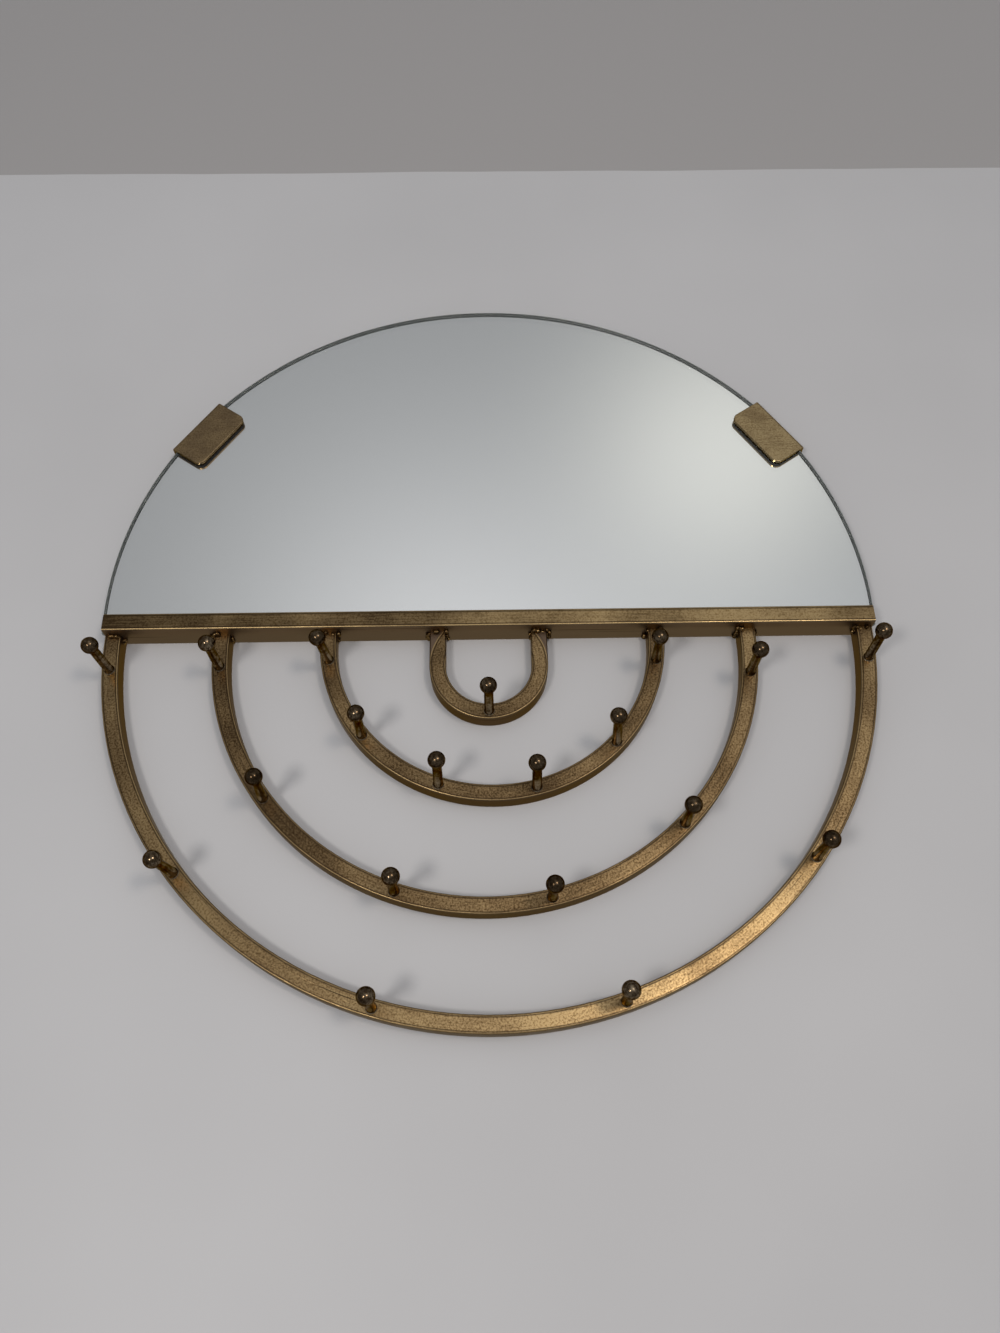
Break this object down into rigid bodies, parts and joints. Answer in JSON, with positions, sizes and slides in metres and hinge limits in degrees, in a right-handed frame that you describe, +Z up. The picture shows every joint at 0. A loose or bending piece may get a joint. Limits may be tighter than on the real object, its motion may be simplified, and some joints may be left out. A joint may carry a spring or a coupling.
{
  "type": "jewellery wall mirror",
  "caption": "Half-round wall mirror over a welded frame of concentric half rings with ball-ended pegs for hanging jewellery.",
  "frame": {"origin": "centre of the cross bar's back face, which lies on the wall", "axes": "+Z up as hung, +X to the viewer's right, the mirror and the pegs face -Y, the wall is y = 0"},
  "size_m": [0.386, 0.039, 0.4005],
  "materials": {
    "mirror": "silvered float glass with a ground edge",
    "frame_metal": "steel bar in a brushed antique brass finish",
    "weld_metal": "rough weld bead under the same antique brass finish",
    "peg_metal": "round rod and ball in a dark antique brass finish",
    "clip_metal": "folded sheet in an antique brass finish",
    "back_metal": "flat strip in an antique brass finish",
    "felt": "thin dark felt"
  },
  "bodies": {
    "root": {"mirror_glass": "mirror", "cross_bar": "frame_metal", "hanger_rail": "back_metal", "outer_arc": "frame_metal", "outer_weld_left": "weld_metal", "outer_weld_right": "weld_metal", "outer_peg_1": "peg_metal", "outer_peg_2": "peg_metal", "outer_peg_3": "peg_metal", "outer_peg_4": "peg_metal", "outer_peg_5": "peg_metal", "outer_peg_6": "peg_metal", "second_arc": "frame_metal", "second_weld_left": "weld_metal", "second_weld_right": "weld_metal", "second_peg_1": "peg_metal", "second_peg_2": "peg_metal", "second_peg_3": "peg_metal", "second_peg_4": "peg_metal", "second_peg_5": "peg_metal", "second_peg_6": "peg_metal", "third_arc": "frame_metal", "third_weld_left": "weld_metal", "third_weld_right": "weld_metal", "third_peg_1": "peg_metal", "third_peg_2": "peg_metal", "third_peg_3": "peg_metal", "third_peg_4": "peg_metal", "third_peg_5": "peg_metal", "third_peg_6": "peg_metal", "inner_arc": "frame_metal", "inner_weld_left": "weld_metal", "inner_weld_right": "weld_metal", "inner_peg_1": "peg_metal", "left_clip": "clip_metal", "left_clip_pad": "felt", "left_strap": "back_metal", "right_clip": "clip_metal", "right_clip_pad": "felt", "right_strap": "back_metal"}
  },
  "joints": []
}
